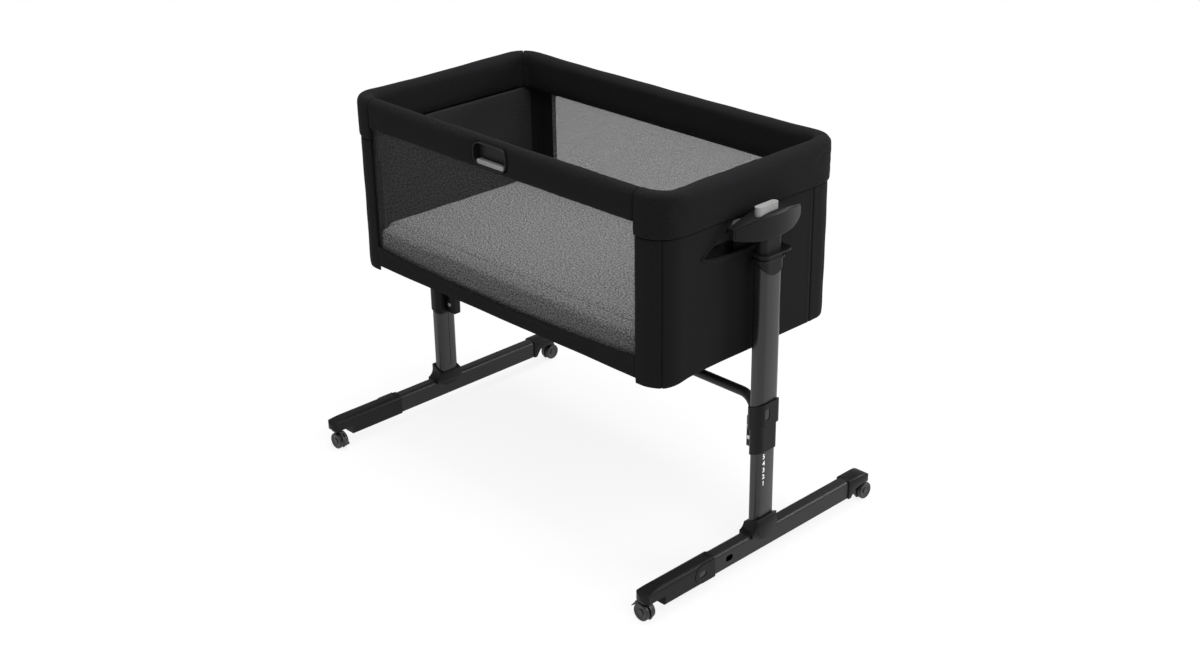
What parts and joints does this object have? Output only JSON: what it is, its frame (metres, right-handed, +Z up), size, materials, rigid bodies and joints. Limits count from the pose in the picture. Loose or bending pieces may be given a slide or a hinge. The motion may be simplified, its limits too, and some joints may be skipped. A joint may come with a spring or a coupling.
{
  "type": "bedside_crib",
  "caption": "Bedside sleeper crib: fabric basket with a drop side, padded rim and mesh windows, gliding on two telescopic T legs with casters.",
  "frame": {"origin": "On the floor, under the middle of the crib: midway between the two posts and on the posts' line.", "axes": "+X along the basket to its right end, the longest side; +Y to the fixed back, so the drop side faces -Y; +Z up."},
  "size_m": [0.972, 0.6505, 0.779],
  "materials": {
    "black_fabric": "matt woven",
    "mesh_fabric": "open net",
    "lining_fabric": "knit over foam",
    "melange_fabric": "melange knit",
    "black_tube": "satin powder coat",
    "bare_steel": "satin",
    "black_plastic": "fine grain",
    "caster_plastic": "satin",
    "wheel_plastic": "smooth",
    "grey_plastic": "satin",
    "board_wood": "plain board"
  },
  "bodies": {
    "stand": {"upper_tube_left": "black_tube", "upper_tube_right": "black_tube", "sleeve_left": "black_plastic", "sleeve_right": "black_plastic", "post_collars": "black_plastic", "head_left": "black_plastic", "head_right": "black_plastic", "glide_rails": "bare_steel", "cross_tube": "black_tube", "cross_tube_rivets": "bare_steel"},
    "basket": {"rim_pad_left": "black_fabric", "rim_pad_back": "black_fabric", "rim_pad_right": "black_fabric", "top_frame": "bare_steel", "end_wall_left": "black_fabric", "end_wall_right": "black_fabric", "back_wall": "black_fabric", "back_mesh": "mesh_fabric", "front_corner_left": "black_fabric", "front_corner_right": "black_fabric", "front_hem": "black_fabric", "end_linings": "lining_fabric", "glide_hubs": "black_plastic", "guide_posts": "bare_steel", "base_frame": "bare_steel", "base_board": "board_wood", "bottom_cover": "black_fabric", "mattress": "melange_fabric"},
    "drop_side": {"rail_tube": "bare_steel", "rail_pad": "black_fabric", "release_bezel": "black_plastic", "front_mesh": "mesh_fabric"},
    "release_lever": {"release_lever": "grey_plastic"},
    "glide_button_left": {"glide_button_left": "grey_plastic"},
    "height_button_left": {"height_button_left": "black_plastic"},
    "foot_left": {"lower_tube_left": "black_tube", "foot_beam_left": "black_tube", "saddle_left": "black_plastic", "rear_cap_left": "black_plastic"},
    "front_leg_left": {"front_leg_left": "black_plastic"},
    "leg_button_left": {"leg_button_left": "black_plastic"},
    "glide_button_right": {"glide_button_right": "grey_plastic"},
    "height_button_right": {"height_button_right": "black_plastic"},
    "foot_right": {"lower_tube_right": "black_tube", "foot_beam_right": "black_tube", "saddle_right": "black_plastic", "rear_cap_right": "black_plastic"},
    "front_leg_right": {"front_leg_right": "black_plastic"},
    "leg_button_right": {"leg_button_right": "black_plastic"},
    "caster_fl": {"caster_frame_fl": "caster_plastic"},
    "wheels_fl": {"caster_wheels_fl": "wheel_plastic"},
    "brake_fl": {"brake_pedal_fl": "caster_plastic"},
    "caster_fr": {"caster_frame_fr": "caster_plastic"},
    "wheels_fr": {"caster_wheels_fr": "wheel_plastic"},
    "brake_fr": {"brake_pedal_fr": "caster_plastic"},
    "caster_rl": {"caster_frame_rl": "caster_plastic"},
    "wheels_rl": {"caster_wheels_rl": "wheel_plastic"},
    "caster_rr": {"caster_frame_rr": "caster_plastic"},
    "wheels_rr": {"caster_wheels_rr": "wheel_plastic"}
  },
  "joints": [
    {"name": "basket_glide", "type": "slide", "parent": "stand", "child": "basket", "axis": [0, 1, 0], "range_m": [-0.02, 0.02]},
    {"name": "side_drop", "type": "slide", "parent": "basket", "child": "drop_side", "axis": [0, 0, -1], "range_m": [0, 0.2], "deforming": ["front_mesh"]},
    {"name": "lever_squeeze", "type": "slide", "parent": "drop_side", "child": "release_lever", "axis": [0, 0, 1], "range_m": [0, 0.006], "stiffness_N_per_m": 200, "springref_m": -0.003},
    {"name": "glide_button_left_press", "type": "slide", "parent": "stand", "child": "glide_button_left", "axis": [0, 0, -1], "range_m": [0, 0.004], "stiffness_N_per_m": 200, "springref_m": -0.003},
    {"name": "height_button_left_press", "type": "slide", "parent": "stand", "child": "height_button_left", "axis": [1, 0, 0], "range_m": [0, 0.002], "stiffness_N_per_m": 200, "springref_m": -0.002},
    {"name": "height_left", "type": "slide", "parent": "stand", "child": "foot_left", "axis": [0, 0, 1], "range_m": [0, 0.06]},
    {"name": "leg_fold_left", "type": "slide", "parent": "foot_left", "child": "front_leg_left", "axis": [0, 1, 0], "range_m": [0, 0.075]},
    {"name": "leg_button_left_press", "type": "slide", "parent": "front_leg_left", "child": "leg_button_left", "axis": [1, 0, 0], "range_m": [0, 0.0015], "stiffness_N_per_m": 200, "springref_m": -0.002},
    {"name": "glide_button_right_press", "type": "slide", "parent": "stand", "child": "glide_button_right", "axis": [0, 0, -1], "range_m": [0, 0.004], "stiffness_N_per_m": 200, "springref_m": -0.003},
    {"name": "height_button_right_press", "type": "slide", "parent": "stand", "child": "height_button_right", "axis": [-1, 0, 0], "range_m": [0, 0.002], "stiffness_N_per_m": 200, "springref_m": -0.002},
    {"name": "height_right", "type": "slide", "parent": "stand", "child": "foot_right", "axis": [0, 0, 1], "range_m": [0, 0.06]},
    {"name": "leg_fold_right", "type": "slide", "parent": "foot_right", "child": "front_leg_right", "axis": [0, 1, 0], "range_m": [0, 0.075]},
    {"name": "leg_button_right_press", "type": "slide", "parent": "front_leg_right", "child": "leg_button_right", "axis": [-1, 0, 0], "range_m": [0, 0.0015], "stiffness_N_per_m": 200, "springref_m": -0.002},
    {"name": "swivel_fl", "type": "hinge", "parent": "front_leg_left", "child": "caster_fl", "pos_m": [-0.465, -0.305, 0.046], "axis": [0, 0, 1], "continuous": true},
    {"name": "roll_fl", "type": "hinge", "parent": "caster_fl", "child": "wheels_fl", "pos_m": [-0.459, -0.305, 0.0175], "axis": [0, 1, 0], "continuous": true},
    {"name": "brake_fl_tread", "type": "hinge", "parent": "caster_fl", "child": "brake_fl", "pos_m": [-0.449, -0.305, 0.038], "axis": [0, 1, 0], "range_deg": [0, 8]},
    {"name": "swivel_fr", "type": "hinge", "parent": "front_leg_right", "child": "caster_fr", "pos_m": [0.465, -0.305, 0.046], "axis": [0, 0, 1], "continuous": true},
    {"name": "roll_fr", "type": "hinge", "parent": "caster_fr", "child": "wheels_fr", "pos_m": [0.459, -0.305, 0.0175], "axis": [0, 1, 0], "continuous": true},
    {"name": "brake_fr_tread", "type": "hinge", "parent": "caster_fr", "child": "brake_fr", "pos_m": [0.449, -0.305, 0.038], "axis": [0, -1, 0], "range_deg": [0, 8]},
    {"name": "swivel_rl", "type": "hinge", "parent": "foot_left", "child": "caster_rl", "pos_m": [-0.465, 0.305, 0.046], "axis": [0, 0, 1], "continuous": true},
    {"name": "roll_rl", "type": "hinge", "parent": "caster_rl", "child": "wheels_rl", "pos_m": [-0.465, 0.311, 0.0175], "axis": [1, 0, 0], "continuous": true},
    {"name": "swivel_rr", "type": "hinge", "parent": "foot_right", "child": "caster_rr", "pos_m": [0.465, 0.305, 0.046], "axis": [0, 0, 1], "continuous": true},
    {"name": "roll_rr", "type": "hinge", "parent": "caster_rr", "child": "wheels_rr", "pos_m": [0.465, 0.311, 0.0175], "axis": [1, 0, 0], "continuous": true}
  ]
}
